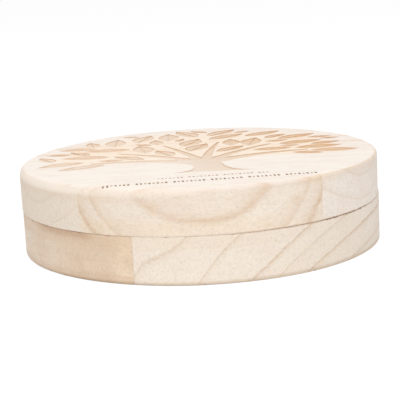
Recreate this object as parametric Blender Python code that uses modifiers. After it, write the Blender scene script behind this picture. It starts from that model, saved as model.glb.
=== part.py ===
"""Round wooden keepsake box for milk teeth, built in metres with +Z up.

The origin is the centre of the foot, on the surface that the box stands on. +X runs along the grain of the
lid's boards and -Y is the front. Both halves are glued up from boards, turned to one outline and held shut
by four pairs of disc magnets. The lid lifts straight off the raised part of the base.
"""

import math

import bpy

# Outline of the two halves
OUTER_RADIUS = 0.060
BASE_HEIGHT = 0.015
LID_HEIGHT = 0.014
LID_OVERHANG = 0.0003
SEAM_GAP = 0.0003
TOP_EDGE_RADIUS = 0.0026
FOOT_EDGE_RADIUS = 0.0008
SEAM_EDGE_RADIUS = 0.0003

# Boards that each half is glued from, measured from the outside edge inwards
GLUE_LINE = 0.0001
LID_FRONT_BOARD_WIDTH = 0.0130
LID_MIDDLE_BOARD_WIDTH = 0.0533
BASE_LEFT_BOARD_WIDTH = 0.039

# Raised part of the base, which the recess in the lid drops over
SPIGOT_HEIGHT = 0.002
SPIGOT_CLEARANCE = 0.0004
SPIGOT_EDGE_RADIUS = 0.0005
TOOTH_HEADROOM = 0.005

# One socket for each milk tooth, in a ring
SOCKET_COUNT = 20
SOCKET_RADIUS = 0.0048
SOCKET_EDGE = 0.0029
SOCKET_FLOOR = 0.0075
SOCKET_FILLET = 0.0015

# Round pocket in the middle, inside a plain band
POCKET_BAND = 0.011
POCKET_FLOOR = 0.006
POCKET_FILLET = 0.002

# Disc magnets, flush in the rims of both halves
MAGNET_COUNT = 4
MAGNET_RADIUS = 0.0025
MAGNET_THICKNESS = 0.002
MAGNET_EDGE = 0.00125
MAGNET_CHAMFER = 0.0002
MAGNET_FIRST_ANGLE = math.radians(45)
GLUE_CLEARANCE = 0.0001

# Facets
RIM_SEGMENTS = 96
SOCKET_SEGMENTS = 24
MAGNET_SEGMENTS = 24
EDGE_STEPS = 4
FILLET_STEPS = 2
SMOOTH_ANGLE = math.radians(30)
CUTTER_OVERRUN = 0.001
MERGE_DISTANCE = 0.000001

# Sizes that follow from the ones above
rim_width = 2 * (MAGNET_RADIUS + MAGNET_EDGE)
spigot_radius = OUTER_RADIUS - rim_width
spigot_top = BASE_HEIGHT + SPIGOT_HEIGHT
lid_radius = OUTER_RADIUS + LID_OVERHANG
lid_bottom = BASE_HEIGHT + SEAM_GAP
lid_top = lid_bottom + LID_HEIGHT
recess_radius = spigot_radius + SPIGOT_CLEARANCE
recess_roof = spigot_top + TOOTH_HEADROOM
socket_ring_radius = spigot_radius - SOCKET_EDGE - SOCKET_RADIUS
pocket_radius = socket_ring_radius - SOCKET_RADIUS - POCKET_BAND
magnet_ring_radius = (recess_radius + OUTER_RADIUS) / 2
lid_front_joint = LID_FRONT_BOARD_WIDTH - lid_radius
lid_back_joint = lid_front_joint + LID_MIDDLE_BOARD_WIDTH
base_joint = BASE_LEFT_BOARD_WIDTH - OUTER_RADIUS


def clear_scene():
    for obj in list(bpy.data.objects):
        bpy.data.objects.remove(obj)


def new_collection(name, parent=None):
    collection = bpy.data.collections.new(name)
    owner = parent or bpy.context.scene.collection
    owner.children.link(collection)
    return collection


def new_material(name, colour, roughness, metallic=0.0):
    material = bpy.data.materials.new(name)
    material.use_nodes = True
    shader = material.node_tree.nodes["Principled BSDF"]
    shader.inputs["Base Color"].default_value = (*colour, 1.0)
    shader.inputs["Roughness"].default_value = roughness
    shader.inputs["Metallic"].default_value = metallic
    return material


def arc(centre, radius, start, end, steps):
    """Points of a round edge in the profile plane, as (distance from the axis, height)."""
    points = []
    for step in range(steps + 1):
        angle = math.radians(start + (end - start) * step / steps)
        points.append((centre[0] + radius * math.cos(angle), centre[1] + radius * math.sin(angle)))
    return points


def profile_mesh(name, points):
    """An open chain of edges in the XZ plane, which a Screw modifier turns about Z."""
    mesh = bpy.data.meshes.new(name)
    vertices = [(radius, 0.0, height) for radius, height in points]
    edges = [(i, i + 1) for i in range(len(points) - 1)]
    mesh.from_pydata(vertices, edges, [])
    return mesh


def link_object(name, mesh, collection):
    obj = bpy.data.objects.new(name, mesh)
    collection.objects.link(obj)
    return obj


def add_screw(obj, segments):
    screw = obj.modifiers.new("Turn", "SCREW")
    screw.axis = "Z"
    screw.angle = 2 * math.pi
    screw.steps = segments
    screw.render_steps = segments
    screw.use_merge_vertices = True
    screw.merge_threshold = MERGE_DISTANCE


def add_boolean(obj, cutter, operation):
    boolean = obj.modifiers.new(operation.title(), "BOOLEAN")
    boolean.operation = operation
    boolean.solver = "EXACT"
    if isinstance(cutter, bpy.types.Collection):
        boolean.operand_type = "COLLECTION"
        boolean.collection = cutter
    else:
        boolean.object = cutter


def turned(name, points, segments, collection, location=(0.0, 0.0, 0.0)):
    obj = link_object(name, profile_mesh(name, points), collection)
    add_screw(obj, segments)
    obj.location = location
    return obj


def make_cutter(obj):
    obj.hide_render = True
    obj.display_type = "WIRE"
    return obj


def slab(name, low, high, collection):
    """A box cutter between two corners, standing for the board that one piece is sawn from."""
    bpy.ops.mesh.primitive_cube_add(size=1.0)
    obj = bpy.context.active_object
    obj.name = name
    size = [b - a for a, b in zip(low, high)]
    for vertex in obj.data.vertices:
        vertex.co = [side * (share + 0.5) + a for side, share, a in zip(size, vertex.co, low)]
    for owner in list(obj.users_collection):
        owner.objects.unlink(obj)
    collection.objects.link(obj)
    return make_cutter(obj)


def base_profile():
    """Half section of the base, from the axis at the pocket's floor, over the spigot and down to the foot."""
    spigot_edge = (spigot_radius - SPIGOT_EDGE_RADIUS, spigot_top - SPIGOT_EDGE_RADIUS)
    seam_edge = (OUTER_RADIUS - SEAM_EDGE_RADIUS, BASE_HEIGHT - SEAM_EDGE_RADIUS)
    foot_edge = (OUTER_RADIUS - FOOT_EDGE_RADIUS, FOOT_EDGE_RADIUS)
    pocket_edge = (pocket_radius - POCKET_FILLET, POCKET_FLOOR + POCKET_FILLET)
    return [
        (0.0, POCKET_FLOOR),
        *arc(pocket_edge, POCKET_FILLET, -90, 0, FILLET_STEPS),
        (pocket_radius, spigot_top),
        *arc(spigot_edge, SPIGOT_EDGE_RADIUS, 90, 0, FILLET_STEPS),
        (spigot_radius, BASE_HEIGHT),
        *arc(seam_edge, SEAM_EDGE_RADIUS, 90, 0, FILLET_STEPS),
        *arc(foot_edge, FOOT_EDGE_RADIUS, 0, -90, FILLET_STEPS),
        (0.0, 0.0),
    ]


def lid_profile():
    """Half section of the lid, from the axis at the top, down the outside and up into the recess."""
    top_edge = (lid_radius - TOP_EDGE_RADIUS, lid_top - TOP_EDGE_RADIUS)
    seam_edge = (lid_radius - SEAM_EDGE_RADIUS, lid_bottom + SEAM_EDGE_RADIUS)
    return [
        (0.0, lid_top),
        *arc(top_edge, TOP_EDGE_RADIUS, 90, 0, EDGE_STEPS),
        *arc(seam_edge, SEAM_EDGE_RADIUS, 0, -90, FILLET_STEPS),
        (recess_radius, lid_bottom),
        (recess_radius, recess_roof),
        (0.0, recess_roof),
    ]


def socket_profile():
    """Half section of the cutter for one socket, from above the spigot down to a filleted floor."""
    fillet_centre = (SOCKET_RADIUS - SOCKET_FILLET, SOCKET_FLOOR + SOCKET_FILLET)
    return [
        (0.0, spigot_top + CUTTER_OVERRUN),
        (SOCKET_RADIUS, spigot_top + CUTTER_OVERRUN),
        *arc(fillet_centre, SOCKET_FILLET, 0, -90, FILLET_STEPS),
        (0.0, SOCKET_FLOOR),
    ]


def hole_profile(low, high):
    radius = MAGNET_RADIUS + GLUE_CLEARANCE
    return [(0.0, high), (radius, high), (radius, low), (0.0, low)]


def magnet_profile():
    half = MAGNET_THICKNESS / 2
    inner = MAGNET_RADIUS - MAGNET_CHAMFER
    return [
        (0.0, half),
        (inner, half),
        (MAGNET_RADIUS, half - MAGNET_CHAMFER),
        (MAGNET_RADIUS, MAGNET_CHAMFER - half),
        (inner, -half),
        (0.0, -half),
    ]


def ring_angles(count, first=0.0):
    """Angles about the axis at which the copies of a ring stand."""
    return [first + 2 * math.pi * i / count for i in range(count)]


def on_ring(radius, angle, height=0.0):
    return (radius * math.cos(angle), radius * math.sin(angle), height)


def magnet_spots(height=0.0):
    angles = ring_angles(MAGNET_COUNT, MAGNET_FIRST_ANGLE)
    return [on_ring(magnet_ring_radius, angle, height) for angle in angles]


def make_board(name, profile, board_slab, cutters, material, collection):
    """One glued board of a turned half: the half's whole shape, kept only inside the board and then bored."""
    board = turned(name, profile, RIM_SEGMENTS, collection)
    add_boolean(board, board_slab, "INTERSECT")
    add_boolean(board, cutters, "DIFFERENCE")
    graph = bpy.context.evaluated_depsgraph_get()
    graph.update()
    board.data = bpy.data.meshes.new_from_object(board.evaluated_get(graph))
    board.modifiers.clear()
    shade_round(board)
    board.data.materials.clear()
    board.data.materials.append(material)
    return board


def shade_round(obj):
    obj.data.shade_smooth()
    obj.data.set_sharp_from_angle(angle=SMOOTH_ANGLE)


def make_magnets(prefix, centre_height, material, collection):
    """The magnets of one half: one turned disc, shared by all of them."""
    first = turned(f"{prefix}_magnet_1", magnet_profile(), MAGNET_SEGMENTS, collection)
    graph = bpy.context.evaluated_depsgraph_get()
    graph.update()
    mesh = bpy.data.meshes.new_from_object(first.evaluated_get(graph))
    mesh.materials.append(material)
    first.modifiers.clear()
    first.data = mesh
    shade_round(first)
    for number, spot in enumerate(magnet_spots(centre_height), start=1):
        magnet = first if number == 1 else link_object(f"{prefix}_magnet_{number}", mesh, collection)
        magnet.location = spot


def make_base(parts, cutters, materials):
    bores = new_collection("base cutters", cutters)
    for number, angle in enumerate(ring_angles(SOCKET_COUNT), start=1):
        spot = on_ring(socket_ring_radius, angle)
        make_cutter(turned(f"socket_cutter_{number}", socket_profile(), SOCKET_SEGMENTS, bores, spot))
    hole_floor = BASE_HEIGHT - MAGNET_THICKNESS - 2 * GLUE_CLEARANCE
    hole = hole_profile(hole_floor, BASE_HEIGHT + CUTTER_OVERRUN)
    for number, spot in enumerate(magnet_spots(), start=1):
        make_cutter(turned(f"base_hole_cutter_{number}", hole, MAGNET_SEGMENTS, bores, spot))

    reach = OUTER_RADIUS + CUTTER_OVERRUN
    top = spigot_top + CUTTER_OVERRUN
    left = slab(
        "base_left_slab",
        (-reach, -reach, -CUTTER_OVERRUN),
        (base_joint - GLUE_LINE / 2, reach, top),
        cutters,
    )
    right = slab(
        "base_right_slab",
        (base_joint + GLUE_LINE / 2, -reach, -CUTTER_OVERRUN),
        (reach, reach, top),
        cutters,
    )
    make_board("base_left_board", base_profile(), left, bores, materials["dark wood"], parts)
    make_board("base_right_board", base_profile(), right, bores, materials["pale wood"], parts)
    magnet_height = BASE_HEIGHT - GLUE_CLEARANCE - MAGNET_THICKNESS / 2
    make_magnets("base", magnet_height, materials["nickel"], parts)


def make_lid(parts, cutters, materials):
    bores = new_collection("lid cutters", cutters)
    hole_roof = lid_bottom + MAGNET_THICKNESS + 2 * GLUE_CLEARANCE
    hole = hole_profile(lid_bottom - CUTTER_OVERRUN, hole_roof)
    for number, spot in enumerate(magnet_spots(), start=1):
        make_cutter(turned(f"lid_hole_cutter_{number}", hole, MAGNET_SEGMENTS, bores, spot))

    reach = lid_radius + CUTTER_OVERRUN
    bottom = lid_bottom - CUTTER_OVERRUN
    top = lid_top + CUTTER_OVERRUN
    strips = {
        "front": (-reach, lid_front_joint - GLUE_LINE / 2),
        "middle": (lid_front_joint + GLUE_LINE / 2, lid_back_joint - GLUE_LINE / 2),
        "back": (lid_back_joint + GLUE_LINE / 2, reach),
    }
    for place, (front, back) in strips.items():
        board = slab(f"lid_{place}_slab", (-reach, front, bottom), (reach, back, top), cutters)
        make_board(f"lid_{place}_board", lid_profile(), board, bores, materials["pale wood"], parts)
    magnet_height = lid_bottom + GLUE_CLEARANCE + MAGNET_THICKNESS / 2
    make_magnets("lid", magnet_height, materials["nickel"], parts)


def main():
    clear_scene()
    parts = new_collection("tooth keepsake box")
    cutters = new_collection("cutters")
    materials = {
        "pale wood": new_material("pale wood", (0.83, 0.72, 0.58), 0.62),
        "dark wood": new_material("dark wood", (0.71, 0.56, 0.40), 0.62),
        "nickel": new_material("nickel", (0.72, 0.71, 0.68), 0.25, metallic=1.0),
    }
    make_base(parts, cutters, materials)
    make_lid(parts, cutters, materials)


main()
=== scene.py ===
import math
import random
from types import SimpleNamespace

import bmesh
import bpy
from mathutils import Matrix, Vector


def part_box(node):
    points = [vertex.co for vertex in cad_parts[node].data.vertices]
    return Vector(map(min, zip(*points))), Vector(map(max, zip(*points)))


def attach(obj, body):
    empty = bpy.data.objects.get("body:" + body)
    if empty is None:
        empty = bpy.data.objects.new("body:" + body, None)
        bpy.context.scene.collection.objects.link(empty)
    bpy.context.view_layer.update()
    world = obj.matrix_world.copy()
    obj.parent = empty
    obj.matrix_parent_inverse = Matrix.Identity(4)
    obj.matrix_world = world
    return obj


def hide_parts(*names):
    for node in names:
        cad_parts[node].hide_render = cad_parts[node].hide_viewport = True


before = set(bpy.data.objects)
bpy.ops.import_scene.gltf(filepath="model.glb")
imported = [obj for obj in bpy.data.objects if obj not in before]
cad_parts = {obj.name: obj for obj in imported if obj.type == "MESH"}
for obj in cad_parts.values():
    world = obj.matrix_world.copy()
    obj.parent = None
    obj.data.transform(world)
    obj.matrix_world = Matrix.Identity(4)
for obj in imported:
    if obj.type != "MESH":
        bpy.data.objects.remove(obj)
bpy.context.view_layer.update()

mm = 0.001

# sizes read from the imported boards
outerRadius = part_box("base_right_board")[1].x
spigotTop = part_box("base_right_board")[1].z
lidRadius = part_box("lid_middle_board")[1].x
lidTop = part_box("lid_middle_board")[1].z


def midway(low, high, axis):
    # the plane of the glue line between two boards
    return (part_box(low)[1][axis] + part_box(high)[0][axis]) / 2


baseJoint = midway("base_left_board", "base_right_board", 0)
lidFrontJoint = midway("lid_front_board", "lid_middle_board", 1)
lidBackJoint = midway("lid_middle_board", "lid_back_board", 1)


# shader maths

class Flow:
    # wraps an output socket, so that shader maths is written as plain sums
    def __init__(self, tree, socket):
        self.tree = tree
        self.socket = socket

    def node(self, kind, settings, inputs, output=0):
        made = self.tree.nodes.new(kind)
        for name, value in settings.items():
            if name == "stops":
                setStops(made.color_ramp, value)
            else:
                setattr(made, name, value)
        for key, value in inputs.items():
            if isinstance(value, Flow):
                self.tree.links.new(value.socket, made.inputs[key])
            else:
                made.inputs[key].default_value = value
        return Flow(self.tree, made.outputs[output])

    def math(self, operation, first, second):
        return self.node("ShaderNodeMath", {"operation": operation}, {0: first, 1: second})

    def __add__(self, other):
        return self.math("ADD", self, other)

    __radd__ = __add__

    def __sub__(self, other):
        return self.math("SUBTRACT", self, other)

    def __rsub__(self, other):
        return self.math("SUBTRACT", other, self)

    def __mul__(self, other):
        return self.math("MULTIPLY", self, other)

    __rmul__ = __mul__

    def __truediv__(self, other):
        return self.math("DIVIDE", self, other)

    def __pow__(self, other):
        return self.math("POWER", self, other)

    def size(self):
        return self.math("ABSOLUTE", self, 0.0)

    def along(self, direction):
        # how far a point lies in one direction
        return self.node("ShaderNodeVectorMath", {"operation": "DOT_PRODUCT"}, {0: self, 1: direction}, 1)

    def ramp(self, start, end):
        # a smooth step from 0 to 1 between two values
        ends = {"Value": self, "From Min": start, "From Max": end}
        return self.node("ShaderNodeMapRange", {"interpolation_type": "SMOOTHSTEP"}, ends)

    def between(self, first, second):
        # the first colour where this is 0, the second where it is 1
        ends = [c if isinstance(c, Flow) else (*c, 1) for c in (first, second)]
        return self.node("ShaderNodeMix", {"data_type": "RGBA"}, {0: self, 6: ends[0], 7: ends[1]}, 2)

    def tint(self, mask, colour):
        return mask.between(self, colour)


def setStops(ramp, stops):
    while len(ramp.elements) < len(stops):
        ramp.elements.new(1)
    for element, (place, tone) in zip(ramp.elements, stops):
        element.position = place
        element.color = (tone, tone, tone, 1)


def linear(red, green, blue):
    # a colour as it looks on screen, 0 to 255, in the linear values that a shader takes
    return tuple(((c / 255 + 0.055) / 1.055) ** 2.4 for c in (red, green, blue))


def startLook(name):
    look = bpy.data.materials.new(name)
    look.use_nodes = True
    return look, look.node_tree


def join(flow, shader, sockets):
    for key, value in sockets.items():
        flow.tree.links.new(value.socket, shader.inputs[key])


# wood

# mm along the grain, mm across it, detail and roughness of each noise
woodNoises = {
    "warp": (34, 14, 2, 0.5),       # slow bends of a growth ring
    "flutter": (7, 1.6, 3, 0.6),    # and its ragged edge
    "fibre": (9, 0.22, 3, 0.62),
    "streak": (46, 1.3, 3, 0.55),
    "cloud": (60, 22, 2, 0.5),
    "pore": (2.4, 0.34, 2, 0.4),
    "fleck": (1.4, 0.5, 2, 0.7),    # cut fibres, where end grain shows
    "mottle": (2.6, 0.9, 3, 0.65),
    "blotch": (11, 4.5, 3, 0.6),
    "speckle": (1.3, 0.9, 2, 0.7),
    "grit": (1.0, 0.75, 3, 0.75),
    "flush": (17, 6, 2, 0.5),
    "burn": (5, 1.1, 3, 0.6),       # uneven browning in the carving
}

woodGrain = {
    "warpDepth": 1.6,      # mm from one side of a ring's bends to the other
    "flutterDepth": 0.9,
    "carveStart": 0.05,    # mm below the lid's top
    "carveEnd": 0.2,
    "markStart": 0.42,
    "markEnd": 0.75,
    # how strongly each of these shows in a board's own colours
    "mottle": 0.58,
    "blotch": 0.45,
    # a painted sheen on the lid's top face
    "face": 0.45,
    "fibre": 0.25,
    "speckle": 0.4,
    "flush": 0.3,
    "pores": 0.5,
    # painted shade at the foot
    "foot": 0.55,
}

# mm before the bump's strength: pores and mottle lie low, and the others stand up
woodRelief = {"ring": 0.05, "fibre": 0.05, "fleck": 0.08, "pores": 0.08, "mottle": 0.03}
bumpStrength = 0.55

# mm from the middle of a growth ring, and the tone there: a slow climb, then a sharp fall
ringShape = ((-1.9, 0.0), (-0.6, 0.32), (-0.1, 1.0), (0.35, 0.0))
ringMargin = 4    # mm kept clear before the first ring and after the last

# strength and colour of each tint that all boards share
tints = {
    # painted shade on the lid's rounded top edge
    "topEdge": (0.55, linear(230, 216, 206)),
    "rightEdge": (0.6, linear(237, 206, 168)),
    # a painted highlight on the worn slope at the left
    "leftSlopeHighlight": (0.27, linear(255, 248, 238)),
    "knot": (0.7, linear(150, 116, 84)),
    "grit": (0.17, linear(158, 152, 146)),
    # brown under the lid's edge at the left: partly wood colour, partly a painted shadow of the lid's
    # overhang
    "brownLipAndShadow": (1, linear(192, 154, 124)),
    # painted shade on the faces inside the seam
    "seam": (1, linear(176, 130, 92)),
    # painted shade on the edges along the seam
    "seamEdgeShade": (1, linear(190, 154, 118)),
    "dashes": (0.8, linear(128, 92, 62)),
    "carvedWarmth": (1, linear(252, 228, 198)),
    "carvedFloor": (1, linear(224, 187, 140)),
    "carvedBurn": (0.38, linear(200, 160, 124)),
    # the walls of the cuts: browned by the cut, and darker as painted shade
    "carvedWallBurnAndShade": (1, linear(204, 162, 126)),
    "mark": (0.88, linear(132, 108, 84)),
}


def shade(wood, mask, name):
    strength, colour = tints[name]
    return wood.tint(mask * strength, colour)


def woodPlaces(tree, grain):
    # where a point of the wood lies, in mm, and how it faces
    outputs = tree.nodes.new("ShaderNodeTexCoord").outputs
    start = Flow(tree, outputs["Object"])
    facing = Flow(tree, outputs["Normal"])
    turn = math.radians(grain)
    grainWay = (math.cos(turn), math.sin(turn), 0)
    sideWay = (-math.sin(turn), math.cos(turn), 0)

    def reach(way):
        return start.along(tuple(part / mm for part in way))

    at = SimpleNamespace()
    at.along = reach(grainWay)
    at.across = reach(sideWay)
    at.rightward = reach((1, 0, 0))
    at.backward = reach((0, 1, 0))
    at.height = reach((0, 0, 1))
    at.depth = lidTop / mm - at.height               # below the lid's top
    at.overRim = at.height - base["height"] / mm     # above the rim of the base
    at.inward = lidRadius / mm - (at.rightward ** 2 + at.backward ** 2) ** 0.5
    at.level = facing.along((0, 0, 1)).size()        # 1 on a level face, 0 on an upright one
    at.endGrain = facing.along(grainWay).size().ramp(0.25, 0.95)
    at.left = at.rightward.ramp(4, -10)
    at.nearTop = at.depth.ramp(1.9, 1.6)             # the lid's face and all that is cut into it
    at.slope = at.depth.ramp(0.3, 1.4) * at.depth.ramp(3.2, 2.5) * at.left    # the wide worn edge
    return at


def woodNoise(at, offset):
    # every noise of woodNoises, drawn out along the grain
    made = SimpleNamespace()
    for name, (length, width, detail, roughness) in woodNoises.items():
        parts = {"X": at.along / length + offset, "Y": at.across / width, "Z": at.height / width}
        point = at.along.node("ShaderNodeCombineXYZ", {}, parts)
        inputs = {"Vector": point, "Scale": 1.0, "Detail": detail, "Roughness": roughness}
        setattr(made, name, point.node("ShaderNodeTexNoise", {}, inputs))
    made.pores = made.pore.ramp(0.71, 0.78)
    return made


def ringStops(rings, spread, first, last):
    # the growth rings as stops of a colour ramp, over distance from the pith
    stops = []
    for ring, strength in rings:
        for offset, tone in ringShape:
            stops.append(((ring + offset * spread - first) / (last - first), tone * strength))
    return sorted(stops)


def growthRings(at, noise, board):
    pithSide, pithHeight = board["pith"]
    sideDrift, heightDrift = board["drift"]
    side = at.across - pithSide - sideDrift * at.along
    rise = at.height - pithHeight - heightDrift * at.along
    warp = (noise.warp - 0.5) * woodGrain["warpDepth"] + (noise.flutter - 0.5) * woodGrain["flutterDepth"]
    near, far, shift = board["bend"]
    distance = (side ** 2 + rise ** 2) ** 0.5 + warp - at.rightward.ramp(near, far) * shift
    first = board["rings"][0][0] - ringMargin
    last = board["rings"][-1][0] + ringMargin
    stops = {"stops": ringStops(board["rings"], board["ringSpread"], first, last)}
    return distance.node("ShaderNodeValToRGB", stops, {0: (distance - first) / (last - first)})


# In what follows a ramp on a place is in mm, and a ramp on a noise goes by its level, from 0 to 1.

def plainWood(at, noise, board):
    wood = (noise.streak.ramp(0.38, 0.78) * board["streaks"]).between(board["pale"], board["streakColour"])
    wood = wood.tint(noise.cloud.ramp(0.42, 0.75) * board["clouds"], board["cloudColour"])
    wood = wood.tint(noise.mottle.ramp(0.35, 0.8) * woodGrain["mottle"], board["streakColour"])
    wood = wood.tint(noise.blotch.ramp(0.52, 0.8) * woodGrain["blotch"], board["rubbedColour"])
    # a painted sheen: the lid's top face is painted paler than its sides
    return wood.tint(at.depth.ramp(1.2, 0.2) * woodGrain["face"], board["faceSheenColour"])


def boardTones(wood, at, noise, board):
    # painted shade on the rounded top edge of the lid and a tan band at its right end, then the board's own
    # sides, bands and tiny knots
    edge = at.depth.ramp(0.01, 0.25) * at.depth.ramp(2.4, 1.2) * (1 - 0.55 * at.left)
    wood = shade(wood, edge * at.rightward.ramp(-52, -38), "topEdge")
    edge = at.depth.ramp(0.05, 0.4) * at.depth.ramp(2.8, 1.5) * at.rightward.ramp(24, 38)
    wood = shade(wood, edge, "rightEdge")
    for near, far, strength, colour in board["sides"]:
        side = at.rightward.ramp(near, far) * at.depth.ramp(0.2, 1.0)
        wood = wood.tint(side * strength * (0.7 + 0.6 * noise.mottle), colour)
    for centre, reach, strength, colour in board["bands"]:
        band = (at.height - centre).size().ramp(reach, 0.3 * reach) * at.rightward.ramp(34, 14)
        wood = wood.tint(band * strength * (0.6 + 0.8 * noise.streak), colour)
    for place, up, reach in board["specks"]:
        away = ((at.rightward - place) ** 2 + (at.height - up) ** 2) ** 0.5
        wood = shade(wood, away.ramp(reach, 0.4 * reach) * at.backward.ramp(-20, -30), "knot")
    return wood


def grainedWood(wood, at, noise, board, ring):
    # growth rings, fainter on the lid's face at the front, then fibres, end grain, specks and pores
    calm = 1 - 0.6 * at.depth.ramp(0.4, 0.15) * at.backward.ramp(2, -8) - 0.6 * at.slope
    wood = wood.tint(ring * calm * (0.5 + 0.8 * noise.streak) * board["ringShow"], board["late"])
    wood = wood.tint(noise.fibre.ramp(0.52, 0.82) * woodGrain["fibre"], board["late"])
    wood = wood.tint(at.endGrain * (0.15 + 0.75 * noise.fleck.ramp(0.3, 0.8)), board["endColour"])
    speckles = noise.speckle.ramp(0.5, 0.72) * woodGrain["speckle"]
    flushes = noise.flush.ramp(0.45, 0.65) * woodGrain["flush"]
    wood = wood.tint(speckles + flushes, board["speckleColour"])
    wood = shade(wood, noise.grit.ramp(0.46, 0.68) * at.depth.ramp(0.3, 1.5), "grit")
    return wood.tint(noise.pores * woodGrain["pores"], board["poreColour"])


def wornWood(wood, at, noise, board):
    # a hand-rubbed band under the lid's top edge, a painted highlight on the worn slope at the left, and
    # painted shade at the foot
    lower = at.depth + at.rightward.ramp(5, 38) * 1.7
    rubbed = lower.ramp(1.8, 2.9) * lower.ramp(5.6, 3.5)
    rubbed = rubbed * (0.02 + 0.14 * noise.cloud + at.rightward.ramp(-22, -30) * 0.2)
    wood = wood.tint(rubbed, board["rubbedColour"])
    # a painted highlight on the worn slope at the left
    wood = shade(wood, at.slope * at.rightward.ramp(-30, -46), "leftSlopeHighlight")
    # painted shade, darker towards the foot where the box meets the floor
    wood = wood.tint(at.height.ramp(1.7, 0.3) * woodGrain["foot"], board["footShadeColour"])

    # round the seam: brown below it at the left, partly wood colour and partly a painted shadow of the
    # lid's overhang; painted shade on the faces and edges in the seam; and dark dashes to the right
    lipStainAndShadow = at.overRim.ramp(-3.2, -0.2) * at.rightward.ramp(-31, -37) * at.rightward.ramp(-56, -47)
    wood = shade(wood, lipStainAndShadow * (0.6 + 0.8 * noise.mottle) * board["brownLipAndShadow"], "brownLipAndShadow")
    clean = at.rightward.ramp(44, 54)
    # painted shade on the level faces inside the seam
    seam = (at.overRim - 0.1).size().ramp(0.6, 0.2) * at.inward.ramp(1.4, 0.9) * at.level.ramp(0.3, 0.7)
    wood = shade(wood, seam * (0.25 + 0.35 * noise.blotch) * (1 - 0.8 * clean), "seam")
    # painted shade on the upright edges along the seam
    seamEdgeShade = (at.overRim - 0.05).size().ramp(0.5, 0.1) * at.inward.ramp(1.1, 0.8) * at.level.ramp(0.7, 0.3)
    seamEdgeShade = seamEdgeShade * (0.12 + 0.34 * at.rightward.ramp(3, 15) - 0.3 * clean)
    wood = shade(wood, seamEdgeShade * (0.5 + noise.streak), "seamEdgeShade")
    dashes = noise.speckle.ramp(0.48, 0.58) * at.rightward.ramp(33, 40) * at.rightward.ramp(56, 50)
    dashes = dashes * (at.overRim - 0.04).size().ramp(0.3, 0.12) * at.inward.ramp(1.2, 0.9)
    return shade(wood, dashes * at.backward.ramp(0, -6), "dashes")


def carvedWood(wood, at, noise):
    # warm wood between the leaves, and browned cuts, darkest at the back right; the walls of the cuts are
    # browned and also darkened as painted shade
    face = at.inward.ramp(3.2, 4.6)
    inside = face * at.nearTop
    warmth = face * at.inward.ramp(8.3, 18.3) * at.backward.ramp(-18, 0) * at.depth.ramp(0.2, 0.1)
    wood = shade(wood, warmth * (0.22 + 0.5 * noise.streak), "carvedWarmth")
    scorch = 0.16 + 0.3 * at.rightward.ramp(-22, 35) + 0.24 * at.backward.ramp(-22, 8)
    floor = at.depth.ramp(woodGrain["carveStart"], woodGrain["carveEnd"]) * inside * scorch
    wood = shade(wood, floor * (0.8 + 0.3 * noise.streak), "carvedFloor")
    wood = shade(wood, floor * noise.burn.ramp(0.46, 0.7), "carvedBurn")
    # browning and painted shade on the walls of the cuts
    wall = at.level.ramp(0.85, 0.4) * inside
    wood = shade(wood, wall * (0.1 + 0.42 * scorch), "carvedWallBurnAndShade")
    rounded = (at.level - 0.65).size().ramp(0.28, 0.2)
    flat = at.inward.ramp(1.2, 1.8) * at.nearTop * (1 - rounded)
    return shade(wood, at.depth.ramp(woodGrain["markStart"], woodGrain["markEnd"]) * flat, "mark")


def woodLook(name, board):
    look, tree = startLook(name)
    shader = tree.nodes["Principled BSDF"]
    at = woodPlaces(tree, board["grain"])
    noise = woodNoise(at, board["offset"])
    ring = growthRings(at, noise, board)
    wood = plainWood(at, noise, board)
    wood = boardTones(wood, at, noise, board)
    wood = grainedWood(wood, at, noise, board, ring)
    wood = wornWood(wood, at, noise, board)
    wood = carvedWood(wood, at, noise)
    rough = 0.58 + 0.14 * noise.fibre - 0.08 * ring + 0.1 * at.endGrain
    relief = ring * woodRelief["ring"] + noise.fibre * woodRelief["fibre"]
    relief = relief + noise.fleck * at.endGrain * woodRelief["fleck"]
    relief = relief - noise.pores * woodRelief["pores"] - noise.mottle * woodRelief["mottle"]
    bump = relief.node("ShaderNodeBump", {}, {"Strength": bumpStrength, "Distance": mm, "Height": relief})
    join(wood, shader, {"Base Color": wood, "Roughness": rough, "Normal": bump})
    shader.inputs["Specular IOR Level"].default_value = 0.45
    return look


nickel = {
    "bright": (0.66, 0.64, 0.6),
    "dull": (0.5, 0.47, 0.42),
    "hazeScale": 420,      # per metre
    "gritScale": 3600,
    "gritDepth": 0.02 * mm,
    "gritStrength": 0.12,
}


def nickelLook():
    look, tree = startLook("nickel plate")
    shader = tree.nodes["Principled BSDF"]
    start = Flow(tree, tree.nodes.new("ShaderNodeTexCoord").outputs["Object"])

    def noise(scale, detail):
        settings = {"Vector": start, "Scale": scale, "Detail": detail, "Roughness": 0.6}
        return start.node("ShaderNodeTexNoise", {}, settings)

    haze = noise(nickel["hazeScale"], 3)
    grit = noise(nickel["gritScale"], 2)
    colour = (haze.ramp(0.4, 0.7) * 0.5).between(nickel["bright"], nickel["dull"])
    rough = 0.2 + 0.16 * haze + 0.08 * grit
    inputs = {"Strength": nickel["gritStrength"], "Distance": nickel["gritDepth"], "Height": grit}
    bump = grit.node("ShaderNodeBump", {}, inputs)
    join(colour, shader, {"Base Color": colour, "Roughness": rough, "Normal": bump})
    shader.inputs["Metallic"].default_value = 1.0
    return look


# mesh tools

def arc(centre, radius, start, end, steps):
    # points of a round edge in a half section, as (distance from the axis, height)
    turns = [math.radians(start + (end - start) * i / steps) for i in range(steps + 1)]
    return [(centre[0] + radius * math.cos(t), centre[1] + radius * math.sin(t)) for t in turns]


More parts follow.
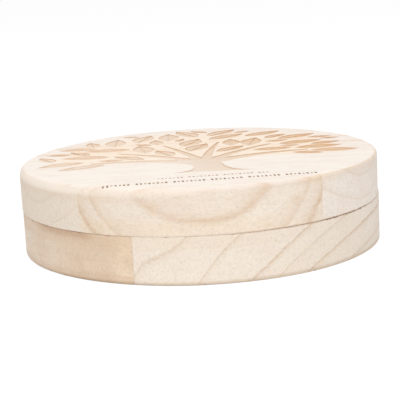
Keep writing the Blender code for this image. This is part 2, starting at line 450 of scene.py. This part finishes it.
def turned(name, section, segments, place=(0, 0)):
    # a closed solid with the given half section, flat at its first and last points;
    # the section is a list of points, or a rule that gives the list for each angle
    shape = bmesh.new()
    angles = [2 * math.pi * i / segments for i in range(segments)]
    sections = [section(angle) if callable(section) else section for angle in angles]
    rings = []
    for level in range(len(sections[0])):
        ring = []
        for angle, points in zip(angles, sections):
            radius, height = points[level]
            spot = (place[0] + radius * math.cos(angle), place[1] + radius * math.sin(angle), height)
            ring.append(shape.verts.new(spot))
        rings.append(ring)
    for upper, lower in zip(rings, rings[1:]):
        for i in range(segments):
            j = (i + 1) % segments
            shape.faces.new((upper[i], lower[i], lower[j], upper[j]))
    shape.faces.new(rings[0])
    shape.faces.new(rings[-1][::-1])
    bmesh.ops.recalc_face_normals(shape, faces=shape.faces)
    return toObject(name, shape)


def roundTheRim(keys, angle):
    # a size that changes smoothly round the rim, at an angle from +X
    turn = (math.degrees(angle) + 90) % 360
    for (first, low), (second, high) in zip(keys, keys[1:]):
        if first <= turn <= second:
            share = (turn - first) / (second - first)
            return (low + (high - low) * share * share * (3 - 2 * share)) * mm


def toObject(name, shape):
    mesh = bpy.data.meshes.new(name)
    shape.to_mesh(mesh)
    shape.free()
    made = bpy.data.objects.new(name, mesh)
    bpy.context.scene.collection.objects.link(made)
    return made


def settle(target):
    # keeps what the modifiers make as the mesh itself
    graph = bpy.context.evaluated_depsgraph_get()
    target.data = bpy.data.meshes.new_from_object(target.evaluated_get(graph))
    target.modifiers.clear()


def cut(target, cutter, operation="DIFFERENCE", crossing=False):
    change = target.modifiers.new(operation, "BOOLEAN")
    change.operation = operation
    change.solver = "EXACT"
    change.use_self = crossing
    change.object = cutter
    settle(target)


def addPrism(shape, outline, low, high):
    # a closed upright block over a flat outline
    lower = [shape.verts.new((x, y, low)) for x, y in outline]
    upper = [shape.verts.new((x, y, high)) for x, y in outline]
    count = len(outline)
    shape.faces.new(upper)
    shape.faces.new(lower[::-1])
    for i in range(count):
        j = (i + 1) % count
        shape.faces.new((lower[i], lower[j], upper[j], upper[i]))


halfLine = 0.015 * mm    # half the width that a glue line is drawn at
sharpAngle = 32          # degrees; a steeper edge is shaded sharp


def sawBoards(solid, boards, axis, looks):
    # splits a turned half along its glue lines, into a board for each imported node
    reach = 2 * lidRadius
    made = []
    for name, (low, high) in boards.items():
        saw = bmesh.new()
        bmesh.ops.create_cube(saw, size=1)
        for vertex in saw.verts:
            vertex.co *= 2 * reach
            vertex.co[axis] = low if vertex.co[axis] < 0 else high
        saw = toObject("saw", saw)
        board = solid.copy()
        bpy.context.scene.collection.objects.link(board)
        cut(board, saw, "INTERSECT")
        bpy.data.objects.remove(saw)
        board.name = name + "_wood"
        finishPiece(board, looks[name])
        made.append(board)
    bpy.data.objects.remove(solid)
    return made


def finishPiece(piece, look):
    piece.data.materials.clear()
    piece.data.materials.append(look)
    for face in piece.data.polygons:
        face.material_index = 0
    piece.data.shade_smooth()
    piece.data.set_sharp_from_angle(angle=math.radians(sharpAngle))
    even = piece.modifiers.new("EvenShading", "WEIGHTED_NORMAL")
    even.keep_sharp = True
    even.weight = 100
    settle(piece)


def dress(piece, node, body):
    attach(piece, body)
    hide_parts(node)


# carving on the lid

carving = {
    "turn": 6.5,               # degrees from the grain of the lid
    "depth": 0.3 * mm,
    "reach": 55 * mm,          # nothing is cut beyond this
    "gap": 0.5 * mm,           # bare wood between two leaves
    "overlap": 2 * mm,         # how far a cutter stands above the lid
    "foot": -34 * mm,
    "fork": -15 * mm,
    "trunkWidth": 8.5 * mm,
    "trunkSway": 0.5 * mm,
    "swayTurn": 5,             # radians of the sway from foot to top
    "rootSpread": 16 * mm,
    "rootFade": 7,             # how fast the spread fades above the foot, and below the top
    "forkFade": 6,
    "boughs": 6,
    "boughLength": (36, 34),   # mm, in the middle and at the sides
    "boughWidth": (4, 7),
    "boughTaper": 0.8,         # share of its width that it loses by its tip
    "boughSpread": 4.4,        # mm to each side where the outer boughs start
    "boughRise": 4,            # mm that the middle of the fork lies higher than its sides
    "boughLean": 58,           # degrees from upright, at the sides
    "boughBend": 34,           # degrees further by their tips
    "leafLength": 17 * mm,
    "leafWidth": 7.4 * mm,
    "leafCurl": 0.03,          # share of its length, at most
    "leafPower": 0.92,         # below 1 a leaf is widest nearer its base
    "leafFan": (4, 176),       # degrees round the fork
    "leafReach": (9, 66),      # mm from the fork
    "leafTilt": (12, 52),      # degrees from the way out of the fork
    "lowestLeaf": -9 * mm,
    "leafSizes": (1.0, 0.84, 0.68, 0.54, 0.44),
    "vein": 0.18 * mm,
    "veinTaper": 0.8,          # share of its width that it loses by its tip
    "tries": 1100,             # places tried for each size of leaf
    "seed": 5,
}


def onLid(point):
    turn = math.radians(carving["turn"])
    x, y = point
    return (x * math.cos(turn) - y * math.sin(turn), x * math.sin(turn) + y * math.cos(turn))


def ribbon(path, widths):
    # outline of a line that has its own width at each point of its path
    left, right = [], []
    for i, point in enumerate(path):
        ahead = path[min(i + 1, len(path) - 1)]
        behind = path[max(i - 1, 0)]
        way = Vector((ahead[0] - behind[0], ahead[1] - behind[1])).normalized()
        side = Vector((-way.y, way.x)) * widths[i] / 2
        left.append((point[0] + side.x, point[1] + side.y))
        right.append((point[0] - side.x, point[1] - side.y))
    return right + left[::-1]


def heading(angle):
    return Vector((math.cos(angle), math.sin(angle)))


def leafSwell(t, width):
    # half width of a leaf at a share of its length
    return width / 2 * math.sin(math.pi * t ** carving["leafPower"]) if 0 < t < 1 else 0


def leafHalves(base, way, length, width, curl):
    # the two lobes of a leaf, with its vein left standing between them
    direction = heading(way)
    side = Vector((-direction.y, direction.x))
    steps = 10
    halves = []
    for sign in (1, -1):
        inner, outer = [], []
        for i in range(steps + 1):
            t = i / steps
            bow = curl * length * math.sin(math.pi * t) * carving["leafCurl"]
            spine = Vector(base) + direction * length * t + side * bow
            gap = carving["vein"] / 2 * (1 - carving["veinTaper"] * t)
            outer.append(spine + side * sign * (gap + leafSwell(t, width)))
            inner.append(spine + side * sign * gap)
        halves.append([tuple(p) for p in inner + outer[-2:0:-1]])
    return halves


def growTrunk():
    # wider at its foot and where the boughs leave it
    steps = 16
    path, widths = [], []
    tall = carving["fork"] + carving["boughRise"] * mm - carving["foot"]
    for i in range(steps + 1):
        t = i / steps
        sway = carving["trunkSway"] * math.sin(carving["swayTurn"] * t)
        path.append((sway, carving["foot"] + tall * t))
        flare = math.exp(-carving["rootFade"] * t) + math.exp(carving["forkFade"] * (t - 1))
        widths.append(carving["trunkWidth"] + carving["rootSpread"] * flare)
    return path, widths


def growBough(share):
    # share runs from -1 at the outermost bough on one side to 1 on the other
    steps = 14
    middleLength, sideLength = carving["boughLength"]
    middleWidth, sideWidth = carving["boughWidth"]
    lean = math.radians(90 - carving["boughLean"] * share)
    bend = math.radians(-carving["boughBend"] * share)
    length = (middleLength + (sideLength - middleLength) * abs(share)) * mm
    rise = (1 - abs(share)) * carving["boughRise"] * mm
    place = Vector((share * carving["boughSpread"] * mm, carving["fork"] + rise))
    path, widths = [], []
    for step in range(steps + 1):
        t = step / steps
        path.append(tuple(place))
        width = (middleWidth + (sideWidth - middleWidth) * share * share) * mm
        widths.append(width * (1 - carving["boughTaper"] * t))
        place = place + heading(lean + bend * t) * length / steps
    return path, widths


def isFree(discs, taken):
    for x, y, radius in discs:
        if math.hypot(x, y) + radius > carving["reach"]:
            return False
        if any(math.hypot(x - a, y - b) < radius + other + carving["gap"] for a, b, other in taken):
            return False
    return True


def growTree():
    # a plain tree of life: a trunk, a fan of boughs, and leaves strewn wherever there is room
    rng = random.Random(carving["seed"])
    path, widths = growTrunk()
    outlines = [ribbon(path, widths)]
    taken = [(x, y, carving["trunkWidth"] / 2) for x, y in path]
    last = carving["boughs"] - 1
    for i in range(carving["boughs"]):
        path, widths = growBough(i / last * 2 - 1)
        outlines.append(ribbon(path, widths))
        taken.extend((x, y, width / 2) for (x, y), width in zip(path, widths))

    fork = Vector((0, carving["fork"]))
    shares = [i / 8 for i in range(9)]
    for size in carving["leafSizes"]:
        length, width = carving["leafLength"] * size, carving["leafWidth"] * size
        for attempt in range(carving["tries"]):
            angle = math.radians(rng.uniform(*carving["leafFan"]))
            spot = fork + heading(angle) * rng.uniform(*carving["leafReach"]) * mm
            way = angle + math.radians(rng.uniform(*carving["leafTilt"])) * rng.choice((-1, 1))
            discs = [(*(spot + heading(way) * length * t), leafSwell(t, width)) for t in shares]
            if spot.y >= carving["lowestLeaf"] and isFree(discs, taken):
                taken.extend(discs)
                outlines.extend(leafHalves(tuple(spot), way, length, width, rng.uniform(-1, 1)))
    return [[onLid(point) for point in outline] for outline in outlines]


# two rows of marks under the tree, in groups with a gap after each
rows = (
    {"left": (-12.6 * mm, -42.3 * mm), "right": (20.7 * mm, -39.7 * mm), "count": 29,
     "tall": 2.6 * mm, "depth": 0.5 * mm},
    {"left": (-28.9 * mm, -50.1 * mm), "right": (36.3 * mm, -44.6 * mm), "count": 53,
     "tall": 3.9 * mm, "depth": 0.8 * mm},
)

mark = {
    "group": 9,    # places to a group, the last of them bare
    # width as a share of the step along the row, height as a share of the row's, and corners
    "lozenge": (0.85, 0.8, 4),
    "highOval": (0.6, 0.7, 8),
    "lowOval": (0.6, 0.45, 8),
}


def markRow(row):
    # a plain lozenge at both ends of a group, and ovals of two heights between them;
    # the first group starts at its second place
    outlines = []
    left, right = Vector(row["left"]), Vector(row["right"])
    step = (right - left) / (row["count"] - 1)
    ahead, aside = step / 2, step.orthogonal().normalized() / 2
    bare, end = mark["group"] - 1, mark["group"] - 2
    for i in range(row["count"]):
        place = (i + 1) % mark["group"]
        if place == bare:
            continue
        oval = "highOval" if i % 2 else "lowOval"
        width, height, corners = mark["lozenge" if place in (0, end) else oval]
        ring = []
        for j in range(corners):
            angle = 2 * math.pi * j / corners
            spot = left + step * i + ahead * width * math.cos(angle)
            ring.append(tuple(spot + aside * (row["tall"] * height) * math.sin(angle)))
        outlines.append(ring)
    return outlines


def carvingCutter(name, outlines, depth):
    shape = bmesh.new()
    for outline in outlines:
        addPrism(shape, outline, lidTop - depth, lidTop + carving["overlap"])
    bmesh.ops.recalc_face_normals(shape, faces=shape.faces)
    return toObject(name, shape)


# base

base = {
    "height": 15 * mm,
    "spigotRadius": 52.5 * mm,
    "edge": 0.06 * mm,
    "footEdge": ((0, 0.7), (40, 0.3), (120, 0.3), (200, 0.8), (270, 1.1), (325, 1.3), (360, 0.7)),
    "spigotEdge": 0.5 * mm,
    "pocketRadius": 29 * mm,
    "pocketFloor": 6 * mm,
    "pocketFillet": 2 * mm,
    "mouthEdge": 0.4 * mm,
    "sockets": 20,
    "socketRing": 44.8 * mm,
    "socketRadius": 4.8 * mm,
    "socketFloor": 7.5 * mm,
    "socketFillet": 1.5 * mm,
    "socketSegments": 48,
    "segments": 240,
    # splinters: how many, and the seed that places them
    "seamChips": (26, 9),
    "footChips": (14, 2),
    "footChipInset": 0.35 * mm,
    "footChipHeight": 0.2 * mm,
}


def baseSection(angle):
    b = base
    footEdge = roundTheRim(b["footEdge"], angle)
    pocketEnd = (b["pocketRadius"] - b["pocketFillet"], b["pocketFloor"] + b["pocketFillet"])
    mouth = (b["pocketRadius"] + b["mouthEdge"], spigotTop - b["mouthEdge"])
    spigotEnd = (b["spigotRadius"] - b["spigotEdge"], spigotTop - b["spigotEdge"])
    seamEnd = (outerRadius - b["edge"], b["height"] - b["edge"])
    footEnd = (outerRadius - footEdge, footEdge)
    return [
        *arc(pocketEnd, b["pocketFillet"], -90, 0, 6),
        *arc(mouth, b["mouthEdge"], 180, 90, 3),
        *arc(spigotEnd, b["spigotEdge"], 90, 0, 4),
        (b["spigotRadius"], b["height"]),
        *arc(seamEnd, b["edge"], 90, 0, 3),
        *arc(footEnd, footEdge, 0, -90, 5),
    ]


def socketCutter():
    b = base
    corner = (b["socketRadius"] - b["socketFillet"], b["socketFloor"] + b["socketFillet"])
    mouth = (b["socketRadius"] + b["mouthEdge"], spigotTop - b["mouthEdge"])
    profile = [
        (b["socketRadius"] + b["mouthEdge"], spigotTop + mm),
        *arc(mouth, b["mouthEdge"], 90, 180, 3),
        *arc(corner, b["socketFillet"], 0, -90, 6),
    ]
    shapes = []
    for i in range(b["sockets"]):
        angle = 2 * math.pi * i / b["sockets"]
        spot = (b["socketRing"] * math.cos(angle), b["socketRing"] * math.sin(angle))
        shapes.append(turned("socket", profile, b["socketSegments"], spot))
    return fuse(shapes)


splinter = {
    # half sizes in mm: inward, along the edge and upward
    "sizes": ((0.25, 0.5), (0.5, 1.4), (0.2, 0.5)),
    "share": (0.1, 0.9),    # place within its own stretch of the edge
    "stray": 0.08,          # mm up or down
}


def edgeChips(radius, height, count, seed):
    # small splinters broken out along an edge
    rng = random.Random(seed)
    shape = bmesh.new()
    for number in range(count):
        angle = 2 * math.pi * (number + rng.uniform(*splinter["share"])) / count
        size = Vector([rng.uniform(*span) for span in splinter["sizes"]]) * mm
        made = bmesh.ops.create_icosphere(shape, subdivisions=1, radius=1)["verts"]
        spin = Matrix.Rotation(angle, 4, "Z")
        stray = rng.uniform(-splinter["stray"], splinter["stray"]) * mm
        move = Matrix.Translation((radius, 0, height + stray))
        bmesh.ops.transform(shape, matrix=spin @ move @ Matrix.Diagonal((*size, 1)), verts=made)
    return toObject("chips", shape)


def fuse(shapes):
    # several separate solids as one object
    whole = bmesh.new()
    for shape in shapes:
        whole.from_mesh(shape.data)
        bpy.data.objects.remove(shape)
    return toObject("cutter", whole)


# A board's dictionary gives lengths in mm. pith is (across the grain, up), and drift is how far it
# wanders that way for each mm along the grain. A ring is (distance from the pith, strength), and bend
# is (x from, x to, shift). offset moves the noises, so that no two boards are alike. A side is
# (x from, x to, strength, colour), a band (height, reach, strength, colour) and a speck (x, height, reach).

tanBoard = {
    "grain": 90,
    "pith": (30, -90),
    "drift": (0, 0),
    "rings": ((93, 0.6), (97, 0.8), (100.5, 0.7), (105, 1)),
    "ringSpread": 1,
    "bend": (0, 1, 0),
    "offset": 3.0,
    "pale": linear(232, 213, 190),
    "late": linear(208, 174, 138),
    "ringShow": 0.25,
    "streaks": 0.55,
    "streakColour": linear(221, 190, 156),
    "clouds": 0.6,
    "cloudColour": linear(216, 190, 172),
    "endColour": linear(226, 203, 176),
    "poreColour": linear(176, 140, 106),
    "speckleColour": linear(214, 186, 156),
    "faceSheenColour": linear(244, 234, 222),
    "sides": ((-30, -54, 0.75, linear(236, 221, 207)), (-31, -23, 0.88, linear(250, 228, 201))),
    "bands": ((4.9, 2.4, 0.4, linear(242, 224, 202)), (1.7, 1.5, 0.35, linear(208, 180, 152)),
              (12.6, 3.6, 0.3, linear(214, 178, 142))),
    "specks": (),
    "rubbedColour": linear(226, 200, 170),
    "footShadeColour": linear(176, 146, 116),
    "brownLipAndShadow": 0.65,
}

paleBoard = {
    "grain": 90,
    "pith": (-74, -56),
    "drift": (0, 0),
    "rings": ((55, 0.7), (63.3, 0.7), (70.6, 1.3), (76.8, 0.7), (82.1, 1.6), (95, 0.9), (106.4, 1)),
    "ringSpread": 1,
    "bend": (-6, -21, 5.8),    # mm; the ring beside the glue line runs flatter
    "offset": 11.0,
    "pale": linear(246, 237, 226),
    "late": linear(206, 176, 142),
    "ringShow": 0.85,
    "streaks": 0.4,
    "streakColour": linear(236, 219, 198),
    "clouds": 0.4,
    "cloudColour": linear(238, 222, 204),
    "endColour": linear(240, 226, 208),
    "poreColour": linear(182, 148, 114),
    "speckleColour": linear(238, 220, 208),
    "faceSheenColour": linear(244, 234, 222),
    "sides": ((15, 55, 0.35, linear(231, 220, 208)),),
    "bands": ((12.8, 3.0, 0.3, linear(236, 208, 176)), (4.5, 2.8, 0.25, linear(246, 238, 228))),
    # tiny knots
    "specks": ((21.6, 11.6, 0.3), (23.6, 13.2, 0.22), (20.9, 9.6, 0.2), (16.9, 6.4, 0.2), (13, 0.4, 0.6)),
    "rubbedColour": linear(240, 226, 208),
    "footShadeColour": linear(196, 172, 144),
    "brownLipAndShadow": 0,
}


def makeBase():
    half = turned("base_half", baseSection, base["segments"])
    chips = edgeChips(outerRadius, base["height"], *base["seamChips"])
    footRadius = outerRadius - base["footChipInset"]
    footChips = edgeChips(footRadius, base["footChipHeight"], *base["footChips"])
    for cutter in (socketCutter(), magnetHoles("base"), chips, footChips):
        cut(half, cutter)
        bpy.data.objects.remove(cutter)
    looks = {
        "base_left_board": woodLook("tan base wood", tanBoard),
        "base_right_board": woodLook("pale base wood", paleBoard),
    }
    far = 2 * outerRadius
    strips = {
        "base_left_board": (-far, baseJoint - halfLine),
        "base_right_board": (baseJoint + halfLine, far),
    }
    for piece, node in zip(sawBoards(half, strips, 0, looks), strips):
        dress(piece, node, "base")
    print("base boards made")


# lid

lid = {
    # radius in mm at degrees from the front, through the right
    "topEdge": ((0, 2.3), (24, 1.5), (52, 0.8), (90, 1.6), (150, 0.9), (200, 1.2), (235, 3.2),
                (280, 2.8), (325, 3.1), (360, 2.3)),
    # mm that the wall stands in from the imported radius, as the lid sits a little to the left
    "inset": ((0, 0.35), (90, 0.62), (180, 0.35), (270, 0.12), (360, 0.35)),
    # open seam in mm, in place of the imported 0.3 mm
    "seam": ((0, 0.02), (8, 0.03), (20, 0.06), (50, 0.075), (90, 0.07), (270, 0.08), (315, 0.1),
             (335, 0.05), (345, 0.015), (360, 0.02)),
    "seamEdge": 0.06 * mm,
    "recessRadius": 52.9 * mm,
    "recessRoof": 22 * mm,
    "recessFillet": 1.2 * mm,
    "flatInset": 4 * mm,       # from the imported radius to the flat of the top
    # waves in the seam's height round the rim: how many, and their phase
    "waves": ((17, 2), (41, 0)),
    "waveShare": 0.2,
    "segments": 240,
    "seamChips": (26, 4),
    "chipRise": 0.12 * mm,
}

frontBoard = {
    "grain": 0,
    "pith": (-95, 38.1),
    "drift": (0, 0),
    "rings": ((36.6, 0.4), (40, 1), (46.4, 0.75), (49.9, 1.5), (57, 1)),
    "ringSpread": 1.7,
    "bend": (2, -22, 0.2),
    "offset": 5.0,
    "pale": linear(247, 236, 223),
    "late": linear(216, 182, 146),
    "ringShow": 0.7,
    "streaks": 0.45,
    "streakColour": linear(237, 219, 197),
    "clouds": 0.4,
    "cloudColour": linear(239, 222, 204),
    "endColour": linear(234, 219, 200),
    "poreColour": linear(190, 156, 122),
    "speckleColour": linear(238, 219, 204),
    "faceSheenColour": linear(250, 245, 239),
    "sides": ((0, -55, 0.4, linear(226, 208, 186)),),
    "bands": ((17.2, 3.6, 0.35, linear(242, 218, 184)),),
    "specks": (),
    "rubbedColour": linear(228, 202, 172),
    "footShadeColour": linear(196, 172, 144),
    "brownLipAndShadow": 0,
}

middleBoard = {
    "grain": 0,
    "pith": (-29, 41),
    "drift": (0, 0.033),
    "rings": ((10, 0.5), (17.7, 1), (24.8, 0.8), (33, 1), (41, 0.8)),
    "ringSpread": 1.1,
    "bend": (0, 1, 0),
    "offset": 21.0,
    "pale": linear(245, 235, 223),
    "late": linear(214, 190, 160),
    "ringShow": 0.6,
    "streaks": 0.45,
    "streakColour": linear(238, 221, 202),
    "clouds": 0.4,
    "cloudColour": linear(240, 225, 214),
    "endColour": linear(234, 220, 203),
    "poreColour": linear(192, 160, 128),
    "speckleColour": linear(239, 221, 207),
    "faceSheenColour": linear(250, 245, 240),
    "sides": ((-10, -58, 0.45, linear(226, 208, 186)), (20, 50, 0.65, linear(252, 245, 240))),
    "bands": (),
    "specks": (),
    "rubbedColour": linear(226, 202, 174),
    "footShadeColour": linear(196, 172, 144),
    "brownLipAndShadow": 0,
}

backBoard = {
    "grain": 0,
    "pith": (46, -20),
    "drift": (0.02, 0.02),
    "rings": ((34, 1), (41, 0.8), (47, 1), (54, 0.7), (60, 1), (66, 0.8)),
    "ringSpread": 1,
    "bend": (0, 1, 0),
    "offset": 40.0,
    "pale": linear(244, 232, 220),
    "late": linear(220, 186, 152),
    "ringShow": 0.9,
    "streaks": 0.6,
    "streakColour": linear(239, 220, 202),
    "clouds": 0.5,
    "cloudColour": linear(240, 221, 211),
    "endColour": linear(234, 219, 200),
    "poreColour": linear(192, 160, 128),
    "speckleColour": linear(239, 221, 207),
    "faceSheenColour": linear(249, 242, 236),
    "sides": ((-10, -58, 0.4, linear(228, 208, 190)),),
    "bands": (),
    "specks": (),
    "rubbedColour": linear(228, 202, 174),
    "footShadeColour": linear(196, 172, 144),
    "brownLipAndShadow": 0,
}


def lidSection(angle):
    p = lid
    edge = roundTheRim(p["topEdge"], angle)
    radius = lidRadius - roundTheRim(p["inset"], angle)
    topEnd = (radius - edge, lidTop - edge)
    wave = 1 + p["waveShare"] * sum(math.sin(count * angle + start) for count, start in p["waves"])
    bottom = base["height"] + roundTheRim(p["seam"], angle) * wave
    seamEnd = (radius - p["seamEdge"], bottom + p["seamEdge"])
    mouth = (p["recessRadius"] + p["seamEdge"], bottom + p["seamEdge"])
    roofEnd = (p["recessRadius"] - p["recessFillet"], p["recessRoof"] - p["recessFillet"])
    return [
        (lidRadius - p["flatInset"], lidTop),
        *arc(topEnd, edge, 90, 0, 8),
        *arc(seamEnd, p["seamEdge"], 0, -90, 3),
        *arc(mouth, p["seamEdge"], 270, 180, 3),
        *arc(roofEnd, p["recessFillet"], 0, 90, 5),
    ]


def makeLid():
    half = turned("lid_half", lidSection, lid["segments"])
    chips = edgeChips(lidRadius, base["height"] + lid["chipRise"], *lid["seamChips"])
    tree = carvingCutter("tree", growTree(), carving["depth"])
    marks = [carvingCutter("marks", markRow(row), row["depth"]) for row in rows]
    for cutter in (chips, tree, *marks, magnetHoles("lid")):
        cut(half, cutter, crossing=cutter is tree)
        bpy.data.objects.remove(cutter)
    print("tree and marks carved")
    looks = {
        "lid_front_board": woodLook("lid front wood", frontBoard),
        "lid_middle_board": woodLook("lid middle wood", middleBoard),
        "lid_back_board": woodLook("lid back wood", backBoard),
    }
    far = 2 * lidRadius
    strips = {
        "lid_front_board": (-far, lidFrontJoint - halfLine),
        "lid_middle_board": (lidFrontJoint + halfLine, lidBackJoint - halfLine),
        "lid_back_board": (lidBackJoint + halfLine, far),
    }
    for piece, node in zip(sawBoards(half, strips, 1, looks), strips):
        dress(piece, node, "lid")
    print("lid boards made")


# magnets

magnet = {
    "chamfer": 0.25 * mm,
    "dish": 0.03 * mm,
    "dishRadius": 0.45,        # share of the magnet's radius where the dish is flat
    "shoulder": (1.6, 0.4),    # chamfers in from the edge, and share of the dish's depth there
    "clearance": 0.1 * mm,     # glue round a magnet
    "segments": 64,
    "holeSegments": 48,
    "arcSteps": 4,
}


def magnetSpots(body):
    # each magnet's node, underside, top, place and radius
    for number in range(1, 5):
        node = f"{body}_magnet_{number}"
        low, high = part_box(node)
        yield node, low.z, high.z, ((low.x + high.x) / 2, (low.y + high.y) / 2), (high.x - low.x) / 2


def magnetHoles(body):
    # open at the rim, with room for glue behind the magnet
    shapes = []
    spare = magnet["clearance"]
    for node, low, high, spot, radius in magnetSpots(body):
        top, bottom = (high + mm, low - spare) if body == "base" else (high + spare, low - mm)
        profile = [(radius + spare, top), (radius + spare, bottom)]
        shapes.append(turned("hole", profile, magnet["holeSegments"], spot))
    return fuse(shapes)


def makeMagnets():
    look = nickelLook()
    soft, dish = magnet["chamfer"], magnet["dish"]
    inset, part = magnet["shoulder"]
    for body in ("base", "lid"):
        for node, low, high, spot, radius in magnetSpots(body):
            profile = [
                (radius * magnet["dishRadius"], high - dish),
                (radius - inset * soft, high - dish * part),
                *arc((radius - soft, high - soft), soft, 90, 0, magnet["arcSteps"]),
                *arc((radius - soft, low + soft), soft, 0, -90, magnet["arcSteps"]),
                (radius - inset * soft, low + dish * part),
                (radius * magnet["dishRadius"], low + dish),
            ]
            disc = turned(node + "_disc", profile, magnet["segments"], spot)
            finishPiece(disc, look)
            dress(disc, node, body)
    print("magnets made")


# stage, light and camera

stage = {
    "floorSize": 3.0,
    "floorHeight": -0.02 * mm,
    "floorColour": (0.9, 0.9, 0.9, 1),
    "skyStrength": 0.56,
    "floorGlow": 0.8,
    "glowStrength": 1.1,
    # place and size in metres, and watts
    "lamps": {
        "key": ((-0.15, -0.3, 0.9), 0.9, 4.85),
        "fill": ((0.3, -0.8, 0.45), 0.8, 1.7),
    },
}

white = (1, 1, 1, 1)


def makeFloor():
    shape = bmesh.new()
    bmesh.ops.create_grid(shape, x_segments=1, y_segments=1, size=stage["floorSize"])
    floor = toObject("floor", shape)
    floor.location.z = stage["floorHeight"]
    look, tree = startLook("white floor")
    tree.nodes.remove(tree.nodes["Principled BSDF"])
    path = Flow(tree, tree.nodes.new("ShaderNodeLightPath").outputs["Is Camera Ray"])
    matt = path.node("ShaderNodeBsdfDiffuse", {}, {"Color": stage["floorColour"]})
    glow = path.node("ShaderNodeEmission", {}, {"Color": white, "Strength": stage["glowStrength"]})
    mixed = path.node("ShaderNodeMixShader", {}, {0: path * stage["floorGlow"], 1: matt, 2: glow})
    tree.links.new(mixed.socket, tree.nodes["Material Output"].inputs["Surface"])
    floor.data.materials.append(look)


def makeSky():
    world = bpy.data.worlds.new("white room")
    bpy.context.scene.world = world
    world.use_nodes = True
    tree = world.node_tree
    path = tree.nodes.new("ShaderNodeLightPath")
    seen = Flow(tree, path.outputs["Is Camera Ray"])
    mirrored = Flow(tree, path.outputs["Is Glossy Ray"])
    direct = seen.math("MAXIMUM", seen, mirrored)
    sky = tree.nodes["Background"]
    strength = stage["skyStrength"] + direct * (1 - stage["skyStrength"])
    tree.links.new(strength.socket, sky.inputs["Strength"])
    sky.inputs["Color"].default_value = white


def makeLamp(name, place, size, power):
    lamp = bpy.data.lights.new(name, "AREA")
    lamp.size = size
    lamp.energy = power
    made = bpy.data.objects.new(name, lamp)
    bpy.context.scene.collection.objects.link(made)
    made.location = place
    made.rotation_euler = (-Vector(place)).to_track_quat("-Z", "Y").to_euler()


camera = {
    "lens": 108,            # mm
    "sensor": 36,
    "down": 11.67,          # degrees
    "roll": 2.92,
    "distance": 0.409,      # m
    "nearest": 0.01,
    "aim": (-0.29 * mm, 0, 13.37 * mm),
}


def makeCamera():
    down, roll = math.radians(camera["down"]), math.radians(camera["roll"])
    ahead = Vector((0, math.cos(down), -math.sin(down)))
    level = Vector((1, 0, 0))
    rise = Vector((0, math.sin(down), math.cos(down)))
    right = level * math.cos(roll) - rise * math.sin(roll)
    top = level * math.sin(roll) + rise * math.cos(roll)
    data = bpy.data.cameras.new("camera")
    data.lens = camera["lens"]
    data.sensor_width = camera["sensor"]
    data.clip_start = camera["nearest"]
    made = bpy.data.objects.new("camera", data)
    bpy.context.scene.collection.objects.link(made)
    turn = Matrix((right, top, -ahead)).transposed().to_4x4()
    made.matrix_world = Matrix.Translation(Vector(camera["aim"]) - ahead * camera["distance"]) @ turn
    bpy.context.scene.camera = made


def makeStudio():
    makeFloor()
    makeSky()
    for name, (place, size, power) in stage["lamps"].items():
        makeLamp(name, place, size, power)
    makeCamera()
    bpy.context.scene.view_settings.view_transform = "Standard"
    print("studio set")


makeBase()
makeLid()
makeMagnets()
makeStudio()
